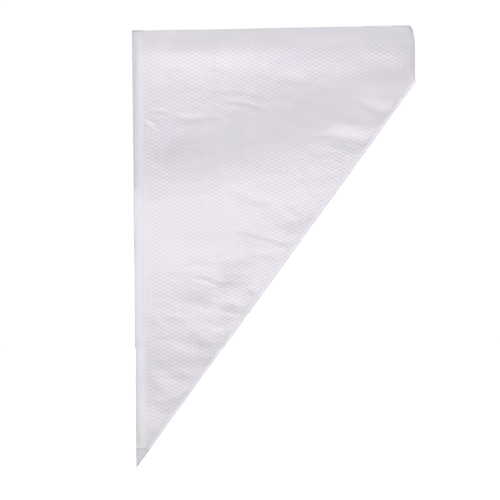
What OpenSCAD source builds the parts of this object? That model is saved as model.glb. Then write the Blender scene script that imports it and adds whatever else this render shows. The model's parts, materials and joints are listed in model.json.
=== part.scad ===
// Disposable piping bag: embossed polyethylene film, laid flat, standing on its tip.
// Frame: origin at the sealed tip, +Z up the straight side seal to the mouth,
// +X across the mouth, -Y out of the front film, +Y out of the back film.

/* [Bag] */
// Height of the bag along its straight side, from the tip to the mouth
bag_h = 310; // [250:5:420]
// Width of the bag across the mouth, laid flat
bag_w = 200; // [160:5:260]
// Height of the short folded edge between the mouth and the slanting weld
shoulder_h = 39.5; // [20:0.5:60]
// How far the rounded mouth corner reaches across the bag
corner_w = 4; // [2:0.5:8]
// How far the rounded mouth corner reaches down the fold
corner_h = 14; // [6:0.5:18]

/* [Film] */
// Thickness of one film, embossing included
film_t = 0.1; // [0.06:0.01:0.15]
// Gap between the two films when the bag lies flat
film_gap = 0.4; // [0.3:0.05:0.6]

/* [Seals] */
// Width of the plain sealed band along the straight side
side_seal_w = 7.5; // [5:0.5:12]
// Width of the slanting weld
weld_w = 2; // [1.2:0.1:3]
// Thickness of the melted slanting weld and of the tip
weld_t = 0.4; // [0.3:0.05:0.6]

/* [Opening] */
// How far each film swings out at the side seal, 0 for a bag laid flat
open_deg = 0; // [0:1:40]

/* [Hidden] */

front_color = [0.90, 0.885, 0.915];
back_color = [0.88, 0.865, 0.90];

// Sign of the Y direction in which each film swings out
FRONT = -1;
BACK = 1;

// Panel setbacks: from the crease on either side, then of the front film from
// the side seal, and of the back film from the side seal, weld and fold
crease_gap = 0.12;
seal_gap = 0.15;
back_seal_gap = 2.4;
back_weld_gap = 0.5;
back_fold_gap = 0.25;

// Angles from the side seal to the slanting weld and to the centre crease
tip_a = atan(bag_w / (bag_h - shoulder_h));
half_a = tip_a / 2;
// Turn at the centre crease that keeps the weld in the plane Y = 0
fold_a = 2 * atan(cos(half_a) * tan(open_deg));

// Apex: the point where the side seal's inner edge meets the weld's inner edge.
// Every fold line of the bag passes through it.
apex_x = side_seal_w;
apex_z = (side_seal_w * cos(tip_a) + weld_w) / sin(tip_a);

// Radius round the apex that the panels leave free
apex_r = 5;
// A left panel starts higher by this many times its setback from the seal
start_per_gap = 3;
// Distance from the apex at which the right panels and the weld start
right_start_r = apex_r + 1;

// Y of each film's +Y face: the front film's inner, the back film's outer
front_y = -film_gap / 2;
back_y = film_gap / 2 + film_t;

// Inner face of the shoulder fold, and the height where the fold starts
fold_x = bag_w - film_t;
fold_z = weld_z(bag_w, weld_w);

// Angle between points on the rounded mouth corner
corner_step = 15;

// Point at a distance from the apex, at an angle from the side seal,
// then moved sideways (positive is toward the weld)
function fan(dist, angle, side = 0) =
    [apex_x + dist * sin(angle) + side * cos(angle),
     apex_z + dist * cos(angle) - side * sin(angle)];

// Point at the mouth on the centre crease moved sideways
function crease_mouth(side) =
    fan((bag_h - apex_z + side * sin(half_a)) / cos(half_a), half_a, side);

// Height at x of a line parallel to the weld's outer edge, moved inward by inset
function weld_z(x, inset) = (x * cos(tip_a) + inset) / sin(tip_a);

// Rounded mouth corner ending on the vertical x = edge_x
function corner(edge_x) = [for (turn = [0:corner_step:90])
    [edge_x - corner_w + corner_w * sin(turn),
     bag_h - corner_h + corner_h * cos(turn)]];

// Half of a film between the side seal and the centre crease
function left_panel(gap) =
    let (start_r = apex_r + start_per_gap * gap)
    [[apex_x + gap, apex_z + start_r],
     [apex_x + gap, bag_h],
     crease_mouth(-crease_gap),
     fan(start_r, half_a, -crease_gap)];

// Half of a film between the centre crease and the weld
function right_panel(edge_x, weld_gap) = concat(
    [fan(right_start_r, half_a, crease_gap), crease_mouth(crease_gap)],
    corner(edge_x),
    [[edge_x, weld_z(edge_x, weld_w + weld_gap)],
     fan(right_start_r, tip_a, -weld_gap)]);

// A flat sheet drawn in the X-Z plane, with its +Y face at face_y
module sheet(points, face_y, thickness) {
    translate([0, face_y, 0]) rotate([90, 0, 0])
        linear_extrude(height = thickness) polygon(points);
}

// Swings a left half out about the vertical line through the apex
module swing_left(film) {
    translate([apex_x, 0, 0]) rotate([0, 0, film * open_deg])
        translate([-apex_x, 0, 0]) children();
}

// Swings a right half out with its left half, and back about the centre crease
module swing_right(film) {
    swing_left(film)
        translate([apex_x, 0, apex_z]) rotate([0, half_a, 0])
            rotate([0, 0, -film * fold_a])
                rotate([0, -half_a, 0]) translate([-apex_x, 0, -apex_z]) children();
}

// Plain band where the two films are sealed together along the straight side
module side_seal() {
    color([0.86, 0.85, 0.89])
        sheet([[0, apex_z], [0, bag_h], [apex_x, bag_h], [apex_x, apex_z]],
              film_t, 2 * film_t);
}

// Solid melted tip, cut open by the user at the first use
module tip_seal() {
    color([0.80, 0.79, 0.83])
        sheet([[0, 0], [0, apex_z], [apex_x, apex_z], fan(0, tip_a, weld_w)],
              weld_t / 2, weld_t);
}

// Front film, half beside the side seal
module front_film_left() {
    color(front_color) swing_left(FRONT)
        sheet(left_panel(seal_gap), front_y, film_t);
}

// Front film, half beside the weld
module front_film_right() {
    color(front_color) swing_right(FRONT)
        sheet(right_panel(fold_x, 0), front_y, film_t);
}

// Back film, half beside the side seal
module back_film_left() {
    color(back_color) swing_left(BACK)
        sheet(left_panel(back_seal_gap), back_y, film_t);
}

// Back film, half beside the weld
module back_film_right() {
    color(back_color) swing_right(BACK)
        sheet(right_panel(fold_x - back_fold_gap, back_weld_gap), back_y, film_t);
}

// Slanting weld that joins the two films from the tip to the shoulder
module diagonal_weld() {
    color([0.82, 0.81, 0.85]) swing_right(FRONT)
        sheet([fan(right_start_r, tip_a), fan(right_start_r, tip_a, weld_w),
               [bag_w, weld_z(bag_w, 0)], [bag_w, fold_z]],
              weld_t / 2, min(weld_t, film_gap));
}

// Short edge beside the mouth where the film runs round from front to back
module shoulder_fold() {
    color([0.84, 0.83, 0.87]) swing_right(FRONT)
        translate([fold_x, -back_y, fold_z])
            cube([film_t, 2 * back_y, bag_h - corner_h - fold_z]);
}

side_seal();
tip_seal();
front_film_left();
front_film_right();
back_film_left();
back_film_right();
diagonal_weld();
shoulder_fold();
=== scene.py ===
"""A flat triangular bag of thin embossed film, open at the top.

It stands in the XZ plane with its tip at z = 0 and its mouth at the top. The front faces -Y.
A plain side seal runs up the left edge from x = 0. A slanting weld runs from the tip up to
the right, and ends in a folded shoulder beside the mouth. Shapes are worked out in
millimetres and turned into metres when a mesh is made.
"""
import json
import math

import bpy
import numpy as np
from mathutils import Matrix, Vector


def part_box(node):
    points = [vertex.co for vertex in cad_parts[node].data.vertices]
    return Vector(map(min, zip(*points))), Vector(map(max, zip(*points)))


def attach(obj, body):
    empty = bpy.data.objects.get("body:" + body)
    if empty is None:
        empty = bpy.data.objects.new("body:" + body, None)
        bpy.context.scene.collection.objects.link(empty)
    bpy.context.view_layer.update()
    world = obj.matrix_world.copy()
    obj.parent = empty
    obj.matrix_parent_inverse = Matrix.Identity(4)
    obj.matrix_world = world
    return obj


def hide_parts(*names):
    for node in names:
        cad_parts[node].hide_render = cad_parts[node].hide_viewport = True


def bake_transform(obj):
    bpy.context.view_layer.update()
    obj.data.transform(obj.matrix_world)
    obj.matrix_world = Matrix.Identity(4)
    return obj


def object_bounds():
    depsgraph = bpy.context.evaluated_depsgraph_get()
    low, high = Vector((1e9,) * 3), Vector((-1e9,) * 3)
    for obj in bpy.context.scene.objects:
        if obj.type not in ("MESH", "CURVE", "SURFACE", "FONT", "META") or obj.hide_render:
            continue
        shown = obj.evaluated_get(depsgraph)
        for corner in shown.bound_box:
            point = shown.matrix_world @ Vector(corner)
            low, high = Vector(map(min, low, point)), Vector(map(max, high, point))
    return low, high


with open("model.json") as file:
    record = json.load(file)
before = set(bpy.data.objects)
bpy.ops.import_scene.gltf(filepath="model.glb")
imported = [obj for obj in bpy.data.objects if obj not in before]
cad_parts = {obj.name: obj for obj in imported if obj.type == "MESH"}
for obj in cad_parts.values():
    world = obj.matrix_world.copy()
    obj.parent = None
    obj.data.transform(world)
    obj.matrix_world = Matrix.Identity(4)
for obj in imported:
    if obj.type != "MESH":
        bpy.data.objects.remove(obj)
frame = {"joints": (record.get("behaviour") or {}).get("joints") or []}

# ----------------------------------------------------------------------------
# Dimensions read from the frame, in millimetres
# ----------------------------------------------------------------------------
MM = 0.001                                             # one millimetre in metres
box_lo, box_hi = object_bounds()
joints = {joint["name"]: joint for joint in frame["joints"]}
apex = joints["mouth_open"]["pos_m"]
weld_axis = joints["weld_hinge"]["axis"]

SEAL_W = apex[0] * 1000                                # inner edge of the side seal
APEX_Z = apex[2] * 1000                                # lowest point of the open film
WELD_ANGLE = math.atan2(-weld_axis[0], -weld_axis[2])  # between side seal and weld
WELD_SIN, WELD_COS = math.sin(WELD_ANGLE), math.cos(WELD_ANGLE)
BAG_W, BAG_H = box_hi.x * 1000, box_hi.z * 1000
WELD_W = APEX_Z * WELD_SIN - SEAL_W * WELD_COS
fold_lo, fold_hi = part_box("shoulder_fold")
FOLD_Z = fold_lo.z * 1000                              # where the weld ends and the fold starts
CORNER_Z = fold_hi.z * 1000                            # where the rounded corner starts
CORNER_H, CORNER_W = BAG_H - CORNER_Z, 4.0

FILM_T = 0.11                                          # film thickness
HALF_GAP = 0.12                                        # least distance of a face from the middle

# Raised diamonds in staggered rows: pitch across, pitch down, height
DIAMOND_X, DIAMOND_Z, DIAMOND_H = 5.33, 2.834, 0.04
FILM_DX, FILM_DZ = DIAMOND_X / 4, DIAMOND_Z / 4        # film mesh spacing

# At the right of the mouth the front film sits lower and the back film higher
MOUTH_DROP_FRONT, MOUTH_RISE_BACK, MOUTH_SHIFT_H = 0.9, 0.5, 30


# ----------------------------------------------------------------------------
# Smooth steps and repeatable noise
# ----------------------------------------------------------------------------
def smooth(start, end, value):
    t = np.clip((value - start) / (end - start), 0.0, 1.0)
    return t * t * (3 - 2 * t)


def bell(value, centre, width):
    return np.exp(-((value - centre) / width) ** 2)


def value_noise(x, y, seed=0):
    """Smooth repeatable noise between -1 and 1, one lattice cell per unit."""
    x, y = np.broadcast_arrays(np.asarray(x, float), np.asarray(y, float))
    xi, yi = np.floor(x).astype(np.int64), np.floor(y).astype(np.int64)

    def fade(t):
        return t * t * t * (t * (t * 6 - 15) + 10)

    def lattice(i, j):
        n = (i * 374761393 + j * 668265263 + seed * 1442695041) & 0xFFFFFFFF
        n = ((n ^ (n >> 13)) * 1274126177) & 0xFFFFFFFF
        n = n ^ (n >> 16)
        return (n & 0xFFFF) / 32767.5 - 1.0

    fx, fy = fade(x - xi), fade(y - yi)
    low = lattice(xi, yi) * (1 - fx) + lattice(xi + 1, yi) * fx
    high = lattice(xi, yi + 1) * (1 - fx) + lattice(xi + 1, yi + 1) * fx
    return low * (1 - fy) + high * fy


def fbm(x, y, seed=0, octaves=3):
    """Layered noise: each octave is twice as fine and half as strong."""
    total, amp, norm = 0.0, 1.0, 0.0
    for octave in range(octaves):
        scale = 2 ** octave
        total = total + amp * value_noise(x * scale, y * scale, seed + 17 * octave)
        norm += amp
        amp *= 0.5
    return total / norm


# ----------------------------------------------------------------------------
# Outline of a film
# ----------------------------------------------------------------------------
def inward(x, z):
    """Distance into the bag from the cut edge of the weld."""
    return z * WELD_SIN - x * WELD_COS


def weld_x(z):
    """Inner edge of the slanting weld at height z."""
    return (z * WELD_SIN - WELD_W) / WELD_COS


def right_x(z):
    """Right limit of a film at height z: weld, then fold, then rounded corner."""
    z = np.asarray(z, float)
    t = np.clip((z - CORNER_Z) / CORNER_H, 0.0, 1.0)
    corner = BAG_W - CORNER_W + CORNER_W * np.sqrt(np.maximum(0.0, 1 - t * t))
    return np.minimum(np.minimum(weld_x(z), BAG_W), corner)


def seam_distance(x, z):
    """Distance into the film from the side seal, and from the weld or fold."""
    right = np.minimum(inward(x, z) - WELD_W, right_x(z) - x)
    return np.maximum(x - SEAL_W, 0.0), np.maximum(right, 0.0)


def sheet_grid(dx, dz, bottom):
    """Film from bottom up to the mouth: rows of constant height, cut at the right limit.

    Returns x, z, faces (counter-clockwise from -Y) and a (first vertex, count) for each row.
    """
    n_rows = int(round((BAG_H - bottom) / dz))
    rows, xs, zs, start = [], [], [], 0
    for z in bottom + (BAG_H - bottom) * np.arange(n_rows + 1) / n_rows:
        limit = float(right_x(z))
        n = int(math.ceil((limit - SEAL_W) / dx - 0.35))
        cols = np.append(SEAL_W + dx * np.arange(n), limit)
        if len(cols) > 1 and cols[-1] - cols[-2] < 0.3 * dx:
            cols = np.delete(cols, -2)
        xs.append(cols)
        zs.append(np.full(len(cols), z))
        rows.append((start, len(cols)))
        start += len(cols)

    faces = []
    for row, ((s0, n0), (s1, n1)) in enumerate(zip(rows[:-1], rows[1:])):
        common = min(n0, n1) - 1
        for i in range(common - 1):
            a, b, c, d = s0 + i, s0 + i + 1, s1 + i + 1, s1 + i
            if (i + row) % 2 == 0:
                faces += [(a, b, c), (a, c, d)]
            else:
                faces += [(a, b, d), (b, c, d)]
        # close the uneven right end of the two rows
        i = j = max(common - 1, 0)
        while i < n0 - 1 or j < n1 - 1:
            if i < n0 - 1 and j < n1 - 1 and n0 - i == n1 - j:
                faces.append((s0 + i, s0 + i + 1, s1 + j + 1, s1 + j))
                i, j = i + 1, j + 1
            elif n0 - i > n1 - j:
                faces.append((s0 + i, s0 + i + 1, s1 + j))
                i += 1
            else:
                faces.append((s0 + i, s1 + j + 1, s1 + j))
                j += 1
    return np.concatenate(xs), np.concatenate(zs), faces, rows


# ----------------------------------------------------------------------------
# Cloth simulation: the weld shrinks as it cools, so both films pucker beside it
# ----------------------------------------------------------------------------
SIM_DX, SIM_DZ = 3.6, 2.7
SIM_BOTTOM = APEX_Z + 4.0
SIM_FRAMES = 30
SIM_SEEDS = ((-1, 3), (1, 11))       # side (-1 front, 1 back) and noise seed
WIDE_PASSES, WIDE_SHARE = 26, 0.88   # smoothing that finds the broad shape, and how much goes


def sim_points(x, z):
    """Starting points and larger rest points of both films, in millimetres."""
    dl, dr = seam_distance(x, z)
    near = np.minimum(dl, dr)
    # the rest shape is longer along the weld and along the side seal, fading inward
    grow_weld = 0.0125 * np.exp(-dr / 55.0) + 0.002
    grow_seal = 0.0060 * np.exp(-dl / 25.0)
    along = (x - SEAL_W) * WELD_SIN + (z - APEX_Z) * WELD_COS
    centre = 0.55 * (BAG_H / WELD_COS)
    rest_x = x + (along - centre) * grow_weld * WELD_SIN
    rest_z = z + (along - centre) * grow_weld * WELD_COS + (z - 170) * grow_seal
    start, rest = [], []
    for side, seed in SIM_SEEDS:
        h = 0.8 * np.minimum(1, near / 12) + 0.45 * fbm(x / 17, z / 9, seed) * np.minimum(1, near / 6)
        start.append(np.c_[x, side * np.maximum(h, 0.05), z])
        rest.append(np.c_[rest_x, np.full(len(x), side * 0.05), rest_z])
    return np.concatenate(start), np.concatenate(rest)


def add_cloth(ob, rest_key):
    mod = ob.modifiers.new("cloth", "CLOTH")
    cloth = mod.settings
    cloth.quality = 6
    cloth.mass = 0.02
    cloth.tension_stiffness = cloth.compression_stiffness = 12.0
    cloth.shear_stiffness = 6.0
    cloth.bending_stiffness = 0.015
    cloth.tension_damping = cloth.compression_damping = cloth.shear_damping = 2.0
    cloth.bending_damping = 0.2
    cloth.air_damping = 3.0
    cloth.vertex_group_mass = "pin"
    cloth.rest_shape_key = rest_key
    cloth.effector_weights.gravity = 0.0
    mod.collision_settings.use_collision = False
    mod.point_cache.frame_start, mod.point_cache.frame_end = 1, SIM_FRAMES


def pucker_grid(heights, rows):
    """Heights on a regular grid, less most of their broad shape, which swell() gives."""
    grid = np.zeros((len(rows), int((BAG_W - SEAL_W) / SIM_DX) + 3))
    for j, (start, count) in enumerate(rows):
        grid[j, :count - 1] = heights[start:start + count - 1]
    wide = grid.copy()
    for _ in range(WIDE_PASSES):
        pad = np.pad(wide, 1, mode="edge")
        wide = (pad[:-2, 1:-1] + pad[2:, 1:-1] + pad[1:-1, :-2] + pad[1:-1, 2:]) / 4
    return np.where(grid != 0, grid - WIDE_SHARE * wide, 0.0)


def simulate_puckers():
    """Pucker grids of the front and the back film."""
    x, z, faces, rows = sheet_grid(SIM_DX, SIM_DZ, SIM_BOTTOM)
    n = len(x)
    start_co, rest_co = sim_points(x, z)
    both = [tuple(f) for f in faces] + [tuple(i + n for i in reversed(f)) for f in faces]
    me = bpy.data.meshes.new("pucker_sim")
    me.from_pydata((start_co * MM).tolist(), [], both)
    ob = bpy.data.objects.new("pucker_sim", me)
    scene = bpy.context.scene
    scene.collection.objects.link(ob)
    ob.shape_key_add(name="Basis")
    key = ob.shape_key_add(name="rest")
    key.data.foreach_set("co", (rest_co * MM).astype(np.float32).ravel())
    key.value = 0.0

    # both ends of every row and the whole lowest row are held
    pins = {i for start, count in rows for i in (start, start + count - 1)}
    pins.update(range(rows[0][0], sum(rows[0])))
    pins |= {i + n for i in pins}
    ob.vertex_groups.new(name="pin").add(sorted(pins), 1.0, "REPLACE")
    add_cloth(ob, key)

    scene.frame_start, scene.frame_end = 1, SIM_FRAMES
    for f in range(1, SIM_FRAMES + 1):
        scene.frame_set(f)
    settled = ob.evaluated_get(bpy.context.evaluated_depsgraph_get())
    co = np.zeros(len(settled.data.vertices) * 3, np.float32)
    settled.data.vertices.foreach_get("co", co)
    y = co.reshape(-1, 3)[:, 1] / MM
    scene.frame_set(1)
    bpy.data.objects.remove(ob)
    bpy.data.meshes.remove(me)
    return pucker_grid(-y[:n], rows), pucker_grid(y[n:], rows)


def sample_puckers(grid, x, z):
    """Catmull-Rom sample of a pucker grid at x, z in millimetres."""
    n_rows, n_cols = grid.shape
    dz = (BAG_H - SIM_BOTTOM) / (n_rows - 1)
    u = np.clip((x - SEAL_W) / SIM_DX, 0, n_cols - 1.001)
    v = np.clip((z - SIM_BOTTOM) / dz, 0, n_rows - 1.001)
    i, j = np.floor(u).astype(int), np.floor(v).astype(int)

    def weights(t):
        return (-0.5 * t + t * t - 0.5 * t ** 3, 1 - 2.5 * t * t + 1.5 * t ** 3,
                0.5 * t + 2 * t * t - 1.5 * t ** 3, -0.5 * t * t + 0.5 * t ** 3)

    wu, wv = weights(u - i), weights(v - j)
    total = 0.0
    for a in range(4):
        col = np.clip(i + a - 1, 0, n_cols - 1)
        for b in range(4):
            row = np.clip(j + b - 1, 0, n_rows - 1)
            total = total + wu[a] * wv[b] * grid[row, col]
    return total


PUCKERS = simulate_puckers()

# ----------------------------------------------------------------------------
# Creases, in millimetres. Columns: x, z of the start, middle and end, half width, height.
# A positive height stands out of the film, a negative one is a furrow.
# ----------------------------------------------------------------------------
FRONT_CREASES = [
    # folds that run in from the weld below the shoulder
    (134.0, 235.0, 162.0, 229.0, 183.0, 219.5, 5.4, 0.38),
    (137.0, 228.5, 152.0, 226.0, 172.0, 220.5, 2.6, 0.08),
    (129.0, 246.0, 150.0, 242.0, 174.0, 237.0, 4.0, -0.10),
    (161.0, 258.0, 179.5, 249.5, 197.5, 240.0, 5.0, 0.36),
    (160.0, 287.5, 186.0, 281.0, 197.0, 280.0, 8.0, 0.24),
    # shallow pleats of the upper left
    (30.0, 249.5, 41.5, 247.0, 51.5, 249.0, 3.4, 0.16),
    (66.0, 259.0, 80.0, 257.5, 97.0, 251.5, 2.2, 0.10),
    (52.0, 266.5, 73.0, 266.0, 96.0, 260.5, 2.4, 0.06),
    (23.0, 291.5, 41.0, 284.0, 65.0, 276.0, 6.4, -0.13),
    (22.5, 292.0, 35.5, 296.0, 58.5, 293.5, 5.4, -0.10),
    (103.0, 275.0, 112.0, 274.0, 125.0, 272.0, 4.2, 0.14),
    (8.0, 244.5, 13.0, 244.5, 20.0, 238.5, 2.8, -0.14),
    (8.0, 243.5, 11.0, 243.5, 15.0, 239.5, 1.8, 0.16),
    (14.5, 224.5, 27.0, 228.0, 36.0, 240.0, 7.0, 0.20),
    (9.5, 251.5, 18.0, 253.0, 27.0, 250.0, 2.0, 0.08),
    # slope under the long hollow
    (63.0, 197.5, 88.0, 189.5, 106.0, 180.0, 5.0, 0.26),
    (93.0, 180.5, 118.0, 180.0, 131.0, 184.5, 8.8, 0.32),
    (92.5, 184.0, 109.0, 179.5, 118.5, 175.0, 4.0, -0.16),
    (120.0, 220.5, 143.0, 221.5, 152.0, 214.0, 4.4, 0.10),
    (18.0, 179.5, 36.5, 182.0, 58.5, 179.5, 3.1, -0.11),
    (11.5, 163.5, 14.0, 171.0, 21.0, 175.0, 2.5, -0.20),
    # puckers of the middle
    (29.5, 160.5, 47.5, 162.5, 69.0, 158.5, 4.6, -0.16),
    (65.0, 165.5, 84.0, 161.5, 114.0, 151.5, 3.2, -0.18),
    (69.0, 168.0, 88.0, 163.5, 117.0, 155.5, 2.0, 0.08),
    (74.0, 155.5, 93.0, 149.5, 112.0, 145.0, 3.6, 0.12),
    (99.0, 171.0, 111.0, 165.0, 121.0, 163.5, 4.0, -0.13),
    (61.0, 143.5, 73.5, 147.5, 89.5, 147.0, 4.6, 0.17),
    (30.0, 140.5, 45.0, 143.0, 56.0, 140.5, 3.4, -0.15),
    (41.0, 133.5, 49.0, 132.5, 60.0, 128.5, 2.2, -0.13),
    (28.0, 122.0, 44.0, 114.0, 61.0, 119.0, 8.0, -0.23),
    (55.0, 123.5, 69.5, 124.5, 80.0, 134.5, 8.6, -0.15),
    (79.0, 125.5, 86.0, 124.0, 94.0, 120.5, 2.6, 0.14),
    # puckers toward the tip, where the film is narrower
    (53.0, 117.0, 74.0, 114.0, 84.0, 112.0, 3.4, 0.13),
    (59.0, 111.5, 70.5, 108.5, 82.0, 106.0, 2.0, -0.10),
    (48.0, 102.0, 66.0, 100.0, 78.0, 101.5, 5.0, -0.20),
    (28.0, 108.5, 45.5, 95.0, 62.0, 86.0, 4.4, 0.10),
    (24.0, 93.0, 39.0, 86.5, 52.0, 80.5, 4.6, -0.17),
    (30.0, 79.0, 46.0, 80.0, 54.0, 77.0, 4.8, 0.03),
    (16.0, 70.5, 31.0, 61.5, 45.0, 55.5, 4.8, -0.20),
    (9.5, 68.5, 21.0, 54.5, 39.0, 45.5, 4.8, 0.15),
    (9.0, 53.0, 24.0, 44.5, 35.5, 40.5, 6.0, 0.13),
    (8.5, 47.5, 15.0, 42.5, 26.0, 36.5, 3.4, -0.07),
    (8.0, 31.0, 14.0, 26.0, 23.0, 24.5, 5.0, 0.18),
    (8.0, 97.0, 12.0, 103.5, 21.0, 100.0, 5.6, 0.12),
]
BACK_CREASES = [
    (8.0, 294.0, 90.0, 292.5, 190.0, 296.0, 6.0, -1.12),
    (120.0, 226.0, 148.0, 229.0, 172.0, 226.0, 3.2, 1.36),
    (150.0, 262.0, 172.0, 252.0, 190.0, 250.0, 3.2, -1.20),
    (30.0, 262.0, 62.0, 256.0, 96.0, 259.0, 3.2, 0.72),
    (88.0, 200.0, 112.0, 190.0, 140.0, 186.0, 4.6, 1.12),
    (60.0, 176.0, 88.0, 166.0, 118.0, 160.0, 2.4, -0.80),
    (22.0, 206.0, 44.0, 199.0, 70.0, 200.0, 3.0, -0.64),
    (20.0, 150.0, 46.0, 146.0, 72.0, 137.0, 2.6, 0.80),
    (58.0, 128.0, 76.0, 120.0, 94.0, 118.0, 2.4, -0.88),
    (24.0, 108.0, 46.0, 99.0, 66.0, 90.0, 3.0, -1.36),
    (12.0, 78.0, 28.0, 72.0, 48.0, 60.0, 3.0, 1.28),
    (8.0, 56.0, 16.0, 50.0, 30.0, 42.0, 2.6, -0.88),
    (104.0, 246.0, 134.0, 240.0, 168.0, 244.0, 4.0, -0.80),
    (36.0, 232.0, 66.0, 228.0, 98.0, 219.0, 3.6, 0.75),
    (96.0, 172.0, 116.0, 168.0, 134.0, 172.0, 3.0, -0.70),
    (34.0, 180.0, 58.0, 184.0, 84.0, 181.0, 2.8, 0.60),
    (60.0, 104.0, 70.0, 98.0, 80.0, 97.0, 2.6, 0.70),
    (20.0, 94.0, 34.0, 86.0, 52.0, 78.0, 2.4, 0.60),
    (140.0, 208.0, 154.0, 206.0, 166.0, 208.0, 3.0, -0.80),
]


def creases(x, z, table):
    """Summed height of the creases at x, z."""
    total = np.zeros_like(x)
    t = np.linspace(0, 1, 28)[:, None]
    for *points, width, height in table:
        # quadratic Bezier that passes through the middle point
        start, middle_point, end = np.array(points).reshape(3, 2)
        control = 2 * middle_point - 0.5 * (start + end)
        curve = (1 - t) ** 2 * start + 2 * t * (1 - t) * control + t ** 2 * end
        lo, hi = curve.min(0) - 4 * width, curve.max(0) + 4 * width
        near = np.nonzero((x > lo[0]) & (x < hi[0]) & (z > lo[1]) & (z < hi[1]))[0]
        if not len(near):
            continue
        q = np.c_[x[near], z[near]]
        nearest = np.full(len(near), 1e9)
        place = np.zeros(len(near))              # 0 to 1 along the crease
        for k, (a, b) in enumerate(zip(curve[:-1], curve[1:])):
            ab = b - a
            s = np.clip(((q - a) @ ab) / (ab @ ab), 0, 1)
            d = np.hypot(*(q - a - s[:, None] * ab).T)
            closer = d < nearest
            nearest = np.where(closer, d, nearest)
            place = np.where(closer, (k + s) / (len(curve) - 1), place)
        taper = np.sin(np.pi * np.clip(place * 0.94 + 0.03, 0, 1)) ** 0.8
        total[near] += height * taper * bell(nearest, 0, width * (0.65 + 0.35 * taper))
    return total


# ----------------------------------------------------------------------------
# Broad shape that both films share
# ----------------------------------------------------------------------------
# Each row is a strip that leans back or forward as it rises. Columns: centre line
# z = c0 + c1 x + c2 x^2, half width, slope, then the x it lies at and its reach across.
LEANS = [
    (306.7, 0.009, 0.000115, 15.4, -0.129, 112.0, 137.0),
    (290.3, -0.069, 0.000379, 6.1, 0.070, 58.0, 37.0),
    (281.9, 0.069, -0.000031, 8.5, -0.018, 116.0, 55.0),
    (266.1, 0.187, -0.001739, 16.0, -0.030, 32.0, 93.0),
    (225.7, -0.002, 0.001444, 33.8, -0.089, 153.0, 182.0),
    (179.5, -0.344, -0.001202, 28.5, 0.041, 85.0, 86.0),
    (149.6, 0.517, -0.000779, 30.9, 0.060, -6.0, 121.0),
    (105.5, 0.036, -0.000155, 19.1, 0.028, 54.0, 52.0),
    (36.0, -0.20, 0.0, 17.0, 0.048, 18.0, 30.0),
    (164.0, -0.06, 0.0, 4.8, -0.080, 47.0, 19.0),
    (120.0, 0.02, 0.0, 7.0, -0.018, 43.0, 21.0),
    (137.0, 0.0, 0.0, 13.0, -0.038, 71.0, 13.0),
]
BAG_LEAN, LEAN_Z = 0.00226, 155.0    # backward slope of the whole bag, and its pivot height
HALF_ROOT_PI = 0.886                 # the integral of a bell is this times the error function

# Polynomial of the error function, highest power first
ERF_TERMS = (0.17087277, -0.82215223, 1.48851587, -1.13520398, 0.27886807,
             -0.18628806, 0.09678418, 0.37409196, 1.00002368, -1.26551223)


def erf(t):
    """Error function, good to 2e-7."""
    size = np.abs(t)
    k = 1.0 / (1.0 + 0.5 * size)
    return np.sign(t) * (1 - k * np.exp(-size * size + np.polyval(ERF_TERMS, k)))


def lean_sum(x, z):
    total = BAG_LEAN * (z - LEAN_Z)
    for c0, c1, c2, width, slope, at, reach in LEANS:
        centre = c0 + c1 * x + c2 * x * x
        across = np.exp(-((x - at) / reach) ** 4)
        total = total + HALF_ROOT_PI * slope * width * erf((z - centre) / width) * across
    return total


def mean_lean():
    """Average down the middle of the bag, weighted by its width."""
    z = np.linspace(10.0, 300.0, 60)
    width = right_x(z) - SEAL_W
    return float(np.average(lean_sum(SEAL_W + 0.5 * width, z), weights=width))


MEAN_LEAN = mean_lean()


def swell(x, z):
    """How far both films stand back, y in millimetres."""
    return lean_sum(x, z) - MEAN_LEAN


def seal_wander(z):
    """The side seal's own waviness."""
    return (0.16 * value_noise(z / 34.0, 0.5, 5) * smooth(0, 40, z)
            + 0.06 * value_noise(z / 11.0, 3.5, 6))


def weld_wander(z):
    """The weld's own waviness, with a short pucker on top."""
    waves = 0.16 * value_noise(z / 26.0, 9.5, 7) + 0.12 * value_noise(z / 8.0, 2.5, 8)
    return waves * smooth(APEX_Z, 60, z)


def seal_y(z):
    return float(seal_wander(z) + swell(SEAL_W, z))


def weld_y(z):
    return float(weld_wander(z) + swell(np.minimum(weld_x(z), BAG_W), z))


def middle(x, z):
    """Common out-of-plane shape of both films, y in millimetres."""
    dl, dr = seam_distance(x, z)
    inside = 1 - np.exp(-np.minimum(dl, dr) / 12.0)
    # the film rolls back into the fold beside the mouth
    roll = 0.42 * np.exp(-np.maximum(right_x(z) - x, 0) / 3.6) * smooth(FOLD_Z - 4, FOLD_Z + 9, z)
    return (seal_wander(z) * np.exp(-dl / 14.0) + weld_wander(z) * np.exp(-dr / 10.0)
            + swell(x, z) + roll + 0.12 * fbm(x / 95.0, z / 80.0, 21, 2) * inside)


# ----------------------------------------------------------------------------
# Faces of the films
# ----------------------------------------------------------------------------
def soft_floor(value, low, softness=0.25):
    """Keeps a value above low without a hard corner."""
    t = (value - low) / softness
    return low + softness * np.where(t > 12, t, np.log1p(np.exp(np.minimum(t, 12))))


def front_y(x, z):
    """The front film's outer face."""
    dl, dr = seam_distance(x, z)
    near = np.minimum(dl, dr)
    h = (1 - np.exp(-near / 3.0)) * creases(x, z, FRONT_CREASES)
    if PUCKERS is not None:
        # weaker in the upper half, and in a band near z = 76
        share = (0.26 - 0.08 * smooth(150, 235, z)) * (1 - 0.45 * bell(z, 76, 12.0))
        h = h + share * smooth(0, 7, near) * sample_puckers(PUCKERS[0], x, z)
    return middle(x, z) - HALF_GAP - (1 - np.exp(-near / 1.5)) * h


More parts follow.
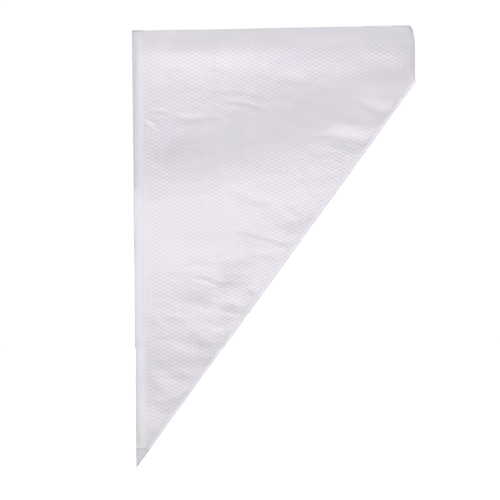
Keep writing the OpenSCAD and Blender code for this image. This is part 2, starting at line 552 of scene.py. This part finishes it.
def back_y(x, z):
    """The back film's outer face, pushed back wherever the front film presses on it."""
    dl, dr = seam_distance(x, z)
    near = np.minimum(dl, dr)
    inside = 1 - np.exp(-near / 5.0)
    # slightly full all over, and fuller at the mouth
    h = (0.9 * (1 - np.exp(-near / 25.0))
         + 1.9 * smooth(BAG_H - 17, BAG_H + 3, z) * (0.35 + 0.65 * inside))
    h = h + inside * creases(x, z, BACK_CREASES)
    if PUCKERS is not None:
        h = h + 1.15 * sample_puckers(PUCKERS[1], x, z)
    front = front_y(x, z)
    least = 2 * HALF_GAP
    gap = soft_floor(middle(x, z) + h - front, least)
    return front + least + (gap - least) * (1 - np.exp(-near / 1.5))


def emboss_mask(x, z):
    """1 where the film is embossed, 0 at the seams, left smooth at the mouth and apex."""
    dl, dr = seam_distance(x, z)
    mask = smooth(0.2, 1.6, dl) * smooth(0.1, 1.8, dr)
    mask = mask * (1 - smooth(BAG_H - 14.5, BAG_H - 10.5, z) * smooth(12, 26, x))
    mask = mask * smooth(APEX_Z + 4, APEX_Z + 16, z)
    # the film is drawn smooth along the long hollow that climbs to the right
    hollow = 213.0 + 0.30 * x - 0.00035 * x * x
    drawn = bell(z - hollow, 2, 17.0) * smooth(24, 60, x)
    return mask * (1 - np.clip(1.06 * drawn, 0, 1))


def emboss(x, z):
    """Height of the diamond pattern, worn unevenly."""
    wave = (np.cos(2 * np.pi * (x - SEAL_W) / DIAMOND_X)
            * np.cos(2 * np.pi * (z - APEX_Z) / DIAMOND_Z))
    wave = np.where(wave > 0, -wave, -0.35 * wave)
    worn = 0.82 + 0.35 * fbm(x / 38.0, z / 22.0, 31, 2)
    return DIAMOND_H * wave * worn * emboss_mask(x, z)


def mouth_z(x, z):
    """The cut of the mouth is not quite straight, and climbs a little to the right."""
    lift = 1.0 * smooth(20, BAG_W - 20, x) + 0.15 * value_noise(x / 16.0, 4.5, 41) - 0.1
    return z + lift * smooth(BAG_H - 26, BAG_H, z)


def near_mouth(z):
    return smooth(BAG_H - MOUTH_SHIFT_H, BAG_H, z)


# ----------------------------------------------------------------------------
# Mesh helpers
# ----------------------------------------------------------------------------
def new_piece(name, points_mm, faces, sharp=None):
    """Smooth-shaded object; sharp is a list of vertex pairs whose edges stay sharp."""
    me = bpy.data.meshes.new(name)
    me.from_pydata((np.asarray(points_mm) * MM).tolist(), [], faces)
    me.validate(verbose=False)
    me.update()
    me.polygons.foreach_set("use_smooth", np.ones(len(me.polygons), bool))
    if sharp is not None:
        def edge_keys(pairs):
            pairs = np.sort(np.asarray(pairs, np.int64).reshape(-1, 2), axis=1)
            return pairs[:, 0] * 10_000_000 + pairs[:, 1]

        ends = np.zeros(len(me.edges) * 2, np.int32)
        me.edges.foreach_get("vertices", ends)
        attr = (me.attributes.get("sharp_edge")
                or me.attributes.new("sharp_edge", "BOOLEAN", "EDGE"))
        attr.data.foreach_set("value", np.isin(edge_keys(ends), edge_keys(sharp)))
    ob = bpy.data.objects.new(name, me)
    bpy.context.scene.collection.objects.link(ob)
    return ob


def set_attr(ob, name, values):
    values = np.asarray(values, np.float32)
    if values.ndim == 2:
        attr = ob.data.attributes.new(name, "FLOAT_VECTOR", "POINT")
        attr.data.foreach_set("vector", values.ravel())
    else:
        attr = ob.data.attributes.new(name, "FLOAT", "POINT")
        attr.data.foreach_set("value", values)


def set_strip_attrs(ob, points, edge, ridge):
    """Attributes of the seal, weld and tip: texture place, free edge, raised line."""
    set_attr(ob, "rest", np.c_[points[:, 0], points[:, 2], np.sign(points[:, 1]) * 3])
    set_attr(ob, "edge", np.clip(edge, 0, 1))
    set_attr(ob, "ridge", ridge)


def shell(name, outer, inner, faces, side):
    """Closed thin shell from two matching layers.

    The faces are counter-clockwise seen from -Y; side is -1 if the outer layer faces -Y.
    """
    n = len(outer)
    f_out = [tuple(f) if side < 0 else tuple(reversed(f)) for f in faces]
    f_in = [tuple(i + n for i in reversed(f)) for f in f_out]
    directed = dict.fromkeys(e for f in f_out for e in zip(f, f[1:] + f[:1]))
    rim = [(a, b) for a, b in directed if (b, a) not in directed]
    walls = [(b, a, a + n, b + n) for a, b in rim]
    sharp = rim + [(a + n, b + n) for a, b in rim]
    return new_piece(name, np.concatenate([outer, inner]), f_out + f_in + walls, sharp)


def strip_points(profile, sections):
    """Rings of a closed strip: across the front, then back across the rear.

    profile: (offset across, half thickness). sections: (origin, across vector,
    thickness scale, y of the middle).
    """
    offsets, half = np.array(profile).T
    rings = []
    for origin, across, scale, centre in sections:
        line = np.array(origin) + offsets[:, None] * np.array(across)
        x, z = line[:, 0], line[:, 2]
        rings.append(np.c_[x, centre - half * scale, z])
        rings.append(np.c_[x, centre + half * scale, z][::-1])
    return np.concatenate(rings)


def strip_faces(n_rings, n_across):
    """Walls between rings of 2 * n_across points, and a cap at each end."""
    ring = 2 * n_across
    faces = []
    for k in range(n_rings - 1):
        for i in range(ring):
            a, b = k * ring + i, k * ring + (i + 1) % ring
            faces.append((a, b, b + ring, a + ring))
    for k, flip in ((0, True), (n_rings - 1, False)):
        first = k * ring
        for i in range(n_across - 1):
            quad = (first + i, first + i + 1, first + ring - 2 - i, first + ring - 1 - i)
            faces.append(quad[::-1] if flip else quad)
    return faces


def blend_weights(ob, body_a, body_b, weights):
    """Bakes the object's transform into its mesh."""
    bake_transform(ob)


def fan_weight(x, z):
    """0 along the side seal, 1 along the weld and the fold, even in angle about the apex."""
    up = np.maximum(z - APEX_Z, 1e-6)
    angle = np.arctan2(x - SEAL_W, up)
    full = np.arctan2(right_x(z) - SEAL_W, up)
    return np.clip(angle / np.maximum(full, 1e-6), 0, 1)


# ----------------------------------------------------------------------------
# Films
# ----------------------------------------------------------------------------
def film(name, side, nodes, bodies):
    """One film; side is -1 for the front and 1 for the back."""
    x, z, faces, _ = sheet_grid(FILM_DX, FILM_DZ, APEX_Z)
    height = emboss(x, z)
    top = mouth_z(x, z)
    fan = fan_weight(x, z)
    if side < 0:
        face, weights = front_y(x, z), fan
        top = top - MOUTH_DROP_FRONT * smooth(120, BAG_W - CORNER_W, x) * near_mouth(z)
    else:
        face, weights = back_y(x, z), 1 - fan
        top = top + MOUTH_RISE_BACK * smooth(60, BAG_W, x) * near_mouth(z)
    outer = np.c_[x, face + side * height, top]
    inner = np.c_[x, face + side * (height - FILM_T), top]
    ob = shell(name, outer, inner, faces, side)

    dl, dr = seam_distance(x, z)
    edge = np.exp(-dr / 0.9) + 0.5 * np.exp(-dl / 0.7) + 0.8 * np.exp(-(BAG_H - z) / 0.8)
    for key, values in (("rest", np.c_[x, z, np.full(len(x), 10.0 * side)]),
                        ("emb", emboss_mask(x, z)),
                        ("edge", np.clip(edge, 0, 1))):
        set_attr(ob, key, np.concatenate([values, values]))
    blend_weights(ob, *bodies, np.concatenate([weights, weights]))
    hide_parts(*nodes)
    return ob


# ----------------------------------------------------------------------------
# Side seal: plain band with a rolled outer edge and a raised line near its inner edge
# ----------------------------------------------------------------------------
# offset from the free edge, half thickness
SEAL_PROFILE = [
    (0.0, 0.05), (0.12, 0.13), (0.30, 0.17), (0.55, 0.15), (0.9, 0.11), (1.6, 0.10),
    (2.6, 0.10), (3.8, 0.10), (5.0, 0.10), (5.9, 0.10), (6.4, 0.10), (6.7, 0.12),
    (7.0, 0.13), (7.25, 0.12), (SEAL_W, 0.11), (SEAL_W + 0.35, 0.02),
]
SEAL_STEP = 1.1
SEAL_RIDGE_X = 6.85


def side_band():
    zs = np.arange(APEX_Z - 0.05, BAG_H + 0.01, SEAL_STEP)
    zs[-1] = BAG_H
    sections = []
    for z in zs:
        wander = 0.6 * (0.10 * value_noise(z / 5.0, 6.5, 51) + 0.22 * value_noise(z / 60.0, 6.5, 52))
        origin = (wander, 0, float(mouth_z(2.0, z)))
        sections.append((origin, (1 - wander / SEAL_W, 0, 0), 1.0, seal_y(z)))
    points = strip_points(SEAL_PROFILE, sections)
    x, z = points[:, 0], points[:, 2]
    # a shallow ripple across the plain band, as where it was pulled while hot
    points[:, 1] += (0.08 * fbm(x / 5.0, z / 16.0, 53, 2)
                     * np.sin(np.pi * np.clip(x / SEAL_W, 0, 1)))
    # its free edge leans forward near the mouth and toward the tip, and a little back at z = 185
    lean = (-1.25 * smooth(197, 204, z) - 0.65 * smooth(140, 62, z) - 0.45 * smooth(60, 12, z)
            - 0.5 * bell(z, 160, 7.0) + 0.15 * bell(z, 185, 15.0))
    free = np.clip((SEAL_W - x) / SEAL_W, 0, 1)
    points[:, 1] += free ** 1.8 * lean * smooth(APEX_Z, APEX_Z + 12, z)

    ob = new_piece("side_seal_band", points, strip_faces(len(zs), len(SEAL_PROFILE)))
    set_strip_attrs(ob, points, edge=np.exp(-x / 0.5) + np.exp(-np.abs(BAG_H - z) / 0.8),
                    ridge=bell(x, SEAL_RIDGE_X, 0.45))
    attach(ob, "seal")
    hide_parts("side_seal")
    return ob


# ----------------------------------------------------------------------------
# Slanting weld: a melted strip with a hard, slightly uneven cut edge
# ----------------------------------------------------------------------------
# offset outward from the weld's inner edge, half thickness
WELD_PROFILE = [
    (-0.35, 0.02), (0.0, 0.12), (0.25, 0.15), (0.55, 0.13), (0.95, 0.12),
    (1.35, 0.15), (1.65, 0.22), (1.85, 0.20), (WELD_W, 0.06),
]
WELD_STEP = 1.2
WELD_END_WIDTHS = (0.7, 0.25)        # the last two sections narrow to these shares


def weld_strip():
    across = np.array([WELD_COS, 0, -WELD_SIN])
    length = (BAG_W - SEAL_W) / WELD_SIN
    n = int(length / WELD_STEP)
    sections = []
    for k in range(n + 1):
        s = length * k / n
        origin = (SEAL_W + s * WELD_SIN, 0, APEX_Z + s * WELD_COS)
        if k >= n - 1:
            width = WELD_END_WIDTHS[k - n + 1]
        else:
            uneven = (0.10 * value_noise(s / 3.2, 1.5, 61)
                      + 0.12 * value_noise(s / 14.0, 1.5, 62))
            width = 1 + uneven / WELD_W
        bead = 1 + 0.25 * value_noise(s / 2.1, 1.5, 63)
        sections.append((origin, across * width, bead, weld_y(origin[2])))
    points = strip_points(WELD_PROFILE, sections)
    ob = new_piece("diagonal_weld_strip", points, strip_faces(n + 1, len(WELD_PROFILE)))
    depth = inward(points[:, 0], points[:, 2])
    set_strip_attrs(ob, points, edge=np.exp(-np.maximum(depth, 0) / 0.45),
                    ridge=bell(depth, WELD_W, 0.35))
    blend_weights(ob, "front_right", "back_right", np.full(len(points), 0.5))
    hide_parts("diagonal_weld")
    return ob


# ----------------------------------------------------------------------------
# Tip: both films melted into one hard, flat point
# ----------------------------------------------------------------------------
TIP_ROWS, TIP_ACROSS = 26, 11
TIP_OVERLAP = 0.1                    # how far it runs up and in past the apex
TIP_MIN_X = 0.25                     # least right limit, which blunts the point
TIP_START_X = 0.06                   # left limit of the lowest row


def tip_point():
    corner_x = SEAL_W + WELD_W * WELD_COS    # the weld's lower outer corner
    corner_z = APEX_Z - WELD_W * WELD_SIN
    u = np.arange(TIP_ACROSS) / (TIP_ACROSS - 1)
    round_edge = np.sqrt(np.maximum(0.0, 1 - (2 * u - 1) ** 6))
    rings = []
    for k in range(TIP_ROWS + 1):
        z = (APEX_Z + TIP_OVERLAP) * (k / TIP_ROWS) ** 0.9
        if z < corner_z:
            x1 = z * math.tan(WELD_ANGLE)
        else:
            # above the corner the tip narrows back to the apex
            t = (z - corner_z) / (WELD_W * WELD_SIN + TIP_OVERLAP)
            x1 = corner_x * (1 - t) + (SEAL_W + TIP_OVERLAP) * t
        x1 = max(x1, TIP_MIN_X)
        x0 = TIP_START_X if k == 0 else 0.0
        x = x0 + (x1 - x0) * u
        # thinner at the point, and again over the last 3 mm below the apex
        half = (0.06 + 0.15 * round_edge) * (0.55 + 0.45 * min(1.0, z / 2.0))
        if z > APEX_Z - 3:
            half = half * (1 - 0.45 * (z - (APEX_Z - 3)) / (3 + TIP_OVERLAP))
        for side, seed in ((-1, 71), (1, 72)):
            y = seal_y(z) + side * half + 0.02 * value_noise(x / 1.5, z / 2.2, seed)
            rings.append(np.c_[x, y, np.full(TIP_ACROSS, z)][::-side])
    points = np.concatenate(rings)
    ob = new_piece("sealed_tip", points, strip_faces(TIP_ROWS + 1, TIP_ACROSS))
    depth = inward(points[:, 0], points[:, 2])
    set_strip_attrs(ob, points, ridge=np.zeros(len(points)),
                    edge=np.exp(-np.maximum(depth, 0) / 0.4) + np.exp(-points[:, 0] / 0.35))
    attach(ob, "seal")
    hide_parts("tip_seal")
    return ob


# ----------------------------------------------------------------------------
# Fold: the film runs round from front to back beside the mouth
# ----------------------------------------------------------------------------
FOLD_ACROSS = 15


def fold_web():
    zs = np.append(np.arange(FOLD_Z - 1.2, BAG_H - 0.001, FILM_DZ), BAG_H)
    x = right_x(zs)
    y_front = front_y(x, zs)[:, None]
    depth = back_y(x, zs)[:, None] - y_front
    bulge = 0.10 + 0.42 * depth * 0.5
    u = np.arange(FOLD_ACROSS) / (FOLD_ACROSS - 1)       # 0 at the front, 1 at the back
    turn = math.pi * u
    shift = near_mouth(zs)[:, None] * (MOUTH_RISE_BACK * u - MOUTH_DROP_FRONT * (1 - u))
    outer = np.stack([x[:, None] + bulge * np.sin(turn),
                      y_front + depth * (0.5 - 0.5 * np.cos(turn)),
                      mouth_z(x, zs)[:, None] + shift], axis=-1)
    # the inner layer is moved toward the inside of the fold
    inner = outer + FILM_T * np.c_[-np.sin(turn), np.cos(turn), np.zeros(FOLD_ACROSS)]
    outer, inner = outer.reshape(-1, 3), inner.reshape(-1, 3)
    faces = []
    for k in range(len(zs) - 1):
        for i in range(FOLD_ACROSS - 1):
            a = k * FOLD_ACROSS + i
            faces.append((a, a + 1, a + 1 + FOLD_ACROSS, a + FOLD_ACROSS))
    ob = shell("shoulder_fold_web", outer, inner, faces, -1)

    rest = np.c_[outer[:, 0] + outer[:, 1], outer[:, 2], np.zeros(len(outer))]
    set_attr(ob, "rest", np.tile(rest, (2, 1)))
    edge = np.clip(0.65 + np.exp(-(BAG_H - outer[:, 2]) / 0.8), 0, 1)
    set_attr(ob, "edge", np.tile(edge, 2))
    set_attr(ob, "emb", np.zeros(2 * len(outer)))
    blend_weights(ob, "front_right", "back_right", np.tile(u, 2 * len(zs)))
    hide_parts("shoulder_fold")
    return ob


front = film("front_film", -1, nodes=("front_film_left", "front_film_right"),
             bodies=("front_left", "front_right"))
back = film("back_film", 1, nodes=("back_film_left", "back_film_right"),
            bodies=("back_right", "back_left"))
seal = side_band()
weld = weld_strip()
tip = tip_point()
fold = fold_web()


# ----------------------------------------------------------------------------
# Shader helpers
# ----------------------------------------------------------------------------
def fresh_tree(owner):
    owner.use_nodes = True
    owner.node_tree.nodes.clear()
    return owner.node_tree


def add_node(tree, kind, inputs=None, **props):
    """New node; each input is given a value or linked from a socket."""
    n = tree.nodes.new(kind)
    for key, value in props.items():
        setattr(n, key, value)
    for key, value in (inputs or {}).items():
        if isinstance(value, bpy.types.NodeSocket):
            tree.links.new(value, n.inputs[key])
        else:
            n.inputs[key].default_value = value
    return n


def calc(tree, operation, *values):
    return add_node(tree, "ShaderNodeMath", dict(enumerate(values)), operation=operation).outputs[0]


def mix_colour(tree, factor, a, b):
    inputs = {0: factor, 6: a, 7: b}         # 6 and 7 are the colour sockets A and B
    return add_node(tree, "ShaderNodeMix", inputs, data_type="RGBA").outputs[2]


def mix_shader(tree, factor, a, b):
    return add_node(tree, "ShaderNodeMixShader", {0: factor, 1: a, 2: b}).outputs[0]


def smooth_range(tree, value, low, high):
    inputs = {"From Min": low, "From Max": high, "Value": value}
    return add_node(tree, "ShaderNodeMapRange", inputs,
                    interpolation_type="SMOOTHSTEP").outputs[0]


def noise_fac(tree, rest, scale, detail, roughness=0.5, distortion=0.0):
    inputs = {"Scale": scale, "Detail": detail, "Roughness": roughness,
              "Distortion": distortion, "Vector": rest}
    return add_node(tree, "ShaderNodeTexNoise", inputs).outputs["Fac"]


# ----------------------------------------------------------------------------
# Materials
# ----------------------------------------------------------------------------
def shade(tint, red, green, blue):
    return (tint[0] * red, tint[1] * green, tint[2] * blue, 1)


def film_colour(tree, rest, edge, tint, edging):
    """Milky film with soft paler and pinker patches, darker at its edges."""
    cloud = noise_fac(tree, rest, scale=0.035, detail=3.0)
    haze = noise_fac(tree, rest, scale=0.012, detail=2.0)
    milky = mix_colour(tree, cloud, shade(tint, 0.975, 0.985, 0.98), shade(tint, 1.02, 1.005, 1.02))
    patch = smooth_range(tree, haze, low=0.42, high=0.62)
    patchy = mix_colour(tree, calc(tree, "MULTIPLY", patch, 0.4), milky,
                        shade(tint, 1.0, 0.965, 1.02))
    return mix_colour(tree, calc(tree, "MULTIPLY", edge, edging), patchy,
                      shade(tint, 0.74, 0.74, 0.77))


def pressed_dots(tree, rest):
    """1 in the pressed dots between the raised diamonds of embossed film."""
    mask = add_node(tree, "ShaderNodeAttribute", attribute_name="emb").outputs["Fac"]
    place = add_node(tree, "ShaderNodeSeparateXYZ", {0: rest}).outputs
    waves = []
    for along, start, pitch in ((place[0], SEAL_W, DIAMOND_X), (place[1], APEX_Z, DIAMOND_Z)):
        turns = calc(tree, "MULTIPLY", calc(tree, "SUBTRACT", along, start), 2 * math.pi / pitch)
        waves.append(calc(tree, "COSINE", turns))
    raised = calc(tree, "MAXIMUM", calc(tree, "MULTIPLY", *waves), 0.0)
    dot = calc(tree, "SMOOTH_MIN", calc(tree, "MULTIPLY", raised, 1.35), 1.0, 0.3)
    return calc(tree, "MULTIPLY", dot, mask)


def film_material(name, tint, clarity, roughness, gloss=0.9, edging=0.75, dots=None):
    """Polyethylene.

    clarity: share seen straight through. gloss: specular level. edging: darkening of the
    edges. dots: darkening of the pressed dots, partly their own thinner film and partly
    painted shade in the pits, or None for plain film.
    """
    mat = bpy.data.materials.new(name)
    tree = fresh_tree(mat)
    out = add_node(tree, "ShaderNodeOutputMaterial")
    rest = add_node(tree, "ShaderNodeAttribute", attribute_name="rest").outputs["Vector"]
    edge = add_node(tree, "ShaderNodeAttribute", attribute_name="edge").outputs["Fac"]
    base = film_colour(tree, rest, edge, tint, edging)

    # relief: drawn lines, fine grain, and the dots on embossed film
    grain = noise_fac(tree, rest, scale=1.6, detail=3.0)
    ripple = noise_fac(tree, rest, scale=0.30, detail=4.0, roughness=0.6, distortion=0.6)
    height = calc(tree, "MULTIPLY", ripple, 0.16)
    height = calc(tree, "MULTIPLY_ADD", grain, 0.10, height)
    if dots is not None:
        pattern = pressed_dots(tree, rest)
        height = calc(tree, "MULTIPLY_ADD", pattern, -0.3, height)
        # darker pressed dots: partly the thinner pressed film, partly painted shade in the pits
        dot_tint_and_shade = calc(tree, "MULTIPLY", calc(tree, "POWER", pattern, 1.5), dots)
        base = mix_colour(tree, dot_tint_and_shade, base, shade(tint, 0.83, 0.835, 0.845))
    bump = add_node(tree, "ShaderNodeBump",
                    {"Strength": 0.75, "Distance": 0.00008, "Height": height}).outputs[0]

    # one even roughness: varying it gives hard-edged patches
    surface = add_node(tree, "ShaderNodeBsdfPrincipled", {
        "Base Color": base, "Roughness": roughness, "IOR": 1.51,
        "Specular IOR Level": gloss, "Normal": bump}).outputs[0]
    glow = add_node(tree, "ShaderNodeBsdfTranslucent", {"Color": base, "Normal": bump}).outputs[0]
    clear = add_node(tree, "ShaderNodeBsdfTransparent", {"Color": (0.985, 0.98, 0.99, 1)}).outputs[0]
    body = mix_shader(tree, 0.28, surface, glow)
    # the film is less clear at its edges
    see = calc(tree, "MULTIPLY_ADD", edge, -0.6 * clarity, clarity)
    tree.links.new(mix_shader(tree, see, body, clear), out.inputs[0])
    return mat


FILM_LOOK = dict(tint=(0.815, 0.838, 0.828), clarity=0.16, roughness=0.27, edging=0.5)
# the pressed dots are darkened in colour, partly as painted shade in the pits; the back film gets
# more of it
mat_film = film_material("embossed_polyethylene", dots=0.66, **FILM_LOOK)
mat_back = film_material("embossed_polyethylene_back", dots=1.0, **FILM_LOOK)
mat_seal = film_material("plain_sealed_polyethylene", tint=(0.766, 0.808, 0.794),
                         clarity=0.14, roughness=0.35, gloss=0.78)
mat_tip = film_material("pinched_polyethylene", tint=(0.735, 0.768, 0.765),
                        clarity=0.08, roughness=0.44, gloss=0.6)
mat_weld = film_material("melted_polyethylene", tint=(0.770, 0.806, 0.796),
                         clarity=0.08, roughness=0.34, gloss=0.85, edging=0.35)
for ob, mat in ((front, mat_film), (back, mat_back), (seal, mat_seal),
                (fold, mat_seal), (weld, mat_weld), (tip, mat_tip)):
    ob.data.materials.clear()
    ob.data.materials.append(mat)

# ----------------------------------------------------------------------------
# Stage, in metres: pale floor, white surround, soft studio light, camera
# ----------------------------------------------------------------------------
FLOOR_HALF, FLOOR_Z = 3.0, -0.0006
LIGHT_AIM = (0.09, 0, 0.16)
VIEW_WIDTH = 0.35427                 # width of the view in the plane of the bag
CAMERA_X, CAMERA_Z = 0.0820, 0.15363
CAMERA_ROLL = math.radians(0.589)


def add_floor():
    """Diffuse floor that also glows, but only to the camera."""
    me = bpy.data.meshes.new("floor")
    corners = [(x * FLOOR_HALF, y * FLOOR_HALF, FLOOR_Z)
               for x, y in ((-1, -1), (1, -1), (1, 1), (-1, 1))]
    me.from_pydata(corners, [], [(0, 1, 2, 3)])
    floor = bpy.data.objects.new("floor", me)
    bpy.context.scene.collection.objects.link(floor)
    mat = bpy.data.materials.new("pale_floor")
    tree = fresh_tree(mat)
    out = add_node(tree, "ShaderNodeOutputMaterial")
    pale = add_node(tree, "ShaderNodeBsdfDiffuse", {"Color": (0.93, 0.93, 0.93, 1)}).outputs[0]
    glow = add_node(tree, "ShaderNodeEmission", {"Strength": 0.62}).outputs[0]
    dark = add_node(tree, "ShaderNodeEmission", {"Strength": 0.0}).outputs[0]
    to_camera = add_node(tree, "ShaderNodeLightPath").outputs["Is Camera Ray"]
    pick = mix_shader(tree, to_camera, dark, glow)
    total = add_node(tree, "ShaderNodeAddShader", {0: pale, 1: pick}).outputs[0]
    tree.links.new(total, out.inputs[0])
    me.materials.append(mat)


def add_world():
    """White to the camera, a pale wall to the sheen, a dim graded fill to the rest."""
    world = bpy.data.worlds.new("studio")
    bpy.context.scene.world = world
    tree = fresh_tree(world)
    out = add_node(tree, "ShaderNodeOutputWorld")
    ray = add_node(tree, "ShaderNodeLightPath").outputs
    white = add_node(tree, "ShaderNodeBackground",
                     {"Color": (1, 1, 1, 1), "Strength": 1.02}).outputs[0]
    direction = add_node(tree, "ShaderNodeTexCoord").outputs["Generated"]
    up = add_node(tree, "ShaderNodeSeparateXYZ", {0: direction}).outputs[2]

    ramp = add_node(tree, "ShaderNodeValToRGB", {0: calc(tree, "MULTIPLY_ADD", up, 0.5, 0.5)})
    low, high = ramp.color_ramp.elements
    low.position, low.color = 0.30, (0.50, 0.545, 0.525, 1)
    high.position, high.color = 0.80, (0.96, 1.03, 0.99, 1)
    fill = add_node(tree, "ShaderNodeBackground",
                    {"Color": ramp.outputs[0], "Strength": 0.175}).outputs[0]

    # the wall brightens above the horizon
    rise = smooth_range(tree, up, low=0.0, high=0.35)
    wall = add_node(tree, "ShaderNodeBackground", {
        "Color": (0.97, 1.0, 0.99, 1),
        "Strength": calc(tree, "MULTIPLY_ADD", rise, 0.55, 0.10)}).outputs[0]
    unseen = mix_shader(tree, ray["Is Glossy Ray"], fill, wall)
    tree.links.new(mix_shader(tree, ray["Is Camera Ray"], unseen, white), out.inputs[0])


def area_light(name, location, size, power, colour):
    """Softbox of size (wide, high), aimed at the middle of the bag."""
    light = bpy.data.lights.new(name, "AREA")
    light.shape = "RECTANGLE"
    light.size, light.size_y = size
    light.energy = power
    light.color = colour
    ob = bpy.data.objects.new(name, light)
    ob.location = location
    ob.rotation_mode = "QUATERNION"
    ob.rotation_quaternion = (Vector(LIGHT_AIM) - Vector(location)).to_track_quat("-Z", "Y")
    ob.visible_camera = False
    bpy.context.scene.collection.objects.link(ob)


def add_lights():
    # a long softbox low in front for the sheen, and one on each side
    area_light("key_softbox", location=(0.0, -3.0, 0.575), size=(1.9, 1.0),
               power=51.0, colour=(1.0, 0.90, 0.995))
    area_light("left_softbox", location=(-2.2, -1.5, 0.6), size=(0.8, 1.4),
               power=6.0, colour=(1.0, 0.98, 1.0))
    area_light("right_softbox", location=(2.38, -1.5, 0.6), size=(0.8, 1.4),
               power=5.5, colour=(1.0, 0.98, 1.0))
    # two steep ones that graze both faces and bring out their relief
    area_light("top_front_softbox", location=(0.3, -0.55, 2.2), size=(1.0, 0.4),
               power=3.5, colour=(1.0, 0.97, 1.0))
    area_light("top_back_softbox", location=(0.3, 0.55, 2.2), size=(1.0, 0.4),
               power=16.0, colour=(1.0, 0.97, 1.0))
    # a large one behind
    area_light("back_softbox", location=(0.1, 3.0, 0.60), size=(2.4, 1.1),
               power=50.0, colour=(1.0, 0.91, 0.99))


def add_camera():
    """Long lens, square on to the front, rolled slightly."""
    data = bpy.data.cameras.new("camera")
    data.sensor_width = 36.0
    data.lens = 250.0
    data.clip_start, data.clip_end = 0.05, 50
    camera = bpy.data.objects.new("camera", data)
    bpy.context.scene.collection.objects.link(camera)
    camera.location = (CAMERA_X, -VIEW_WIDTH * data.lens / data.sensor_width, CAMERA_Z)
    camera.rotation_mode = "QUATERNION"
    look = Vector((0, 1, 0)).to_track_quat("-Z", "Y")
    camera.rotation_quaternion = Matrix.Rotation(CAMERA_ROLL, 3, "Y").to_quaternion() @ look
    bpy.context.scene.camera = camera


add_floor()
add_world()
add_lights()
add_camera()
view = bpy.context.scene.view_settings
view.view_transform = "Standard"
view.look = "None"
view.exposure = 0.0
view.gamma = 1.0
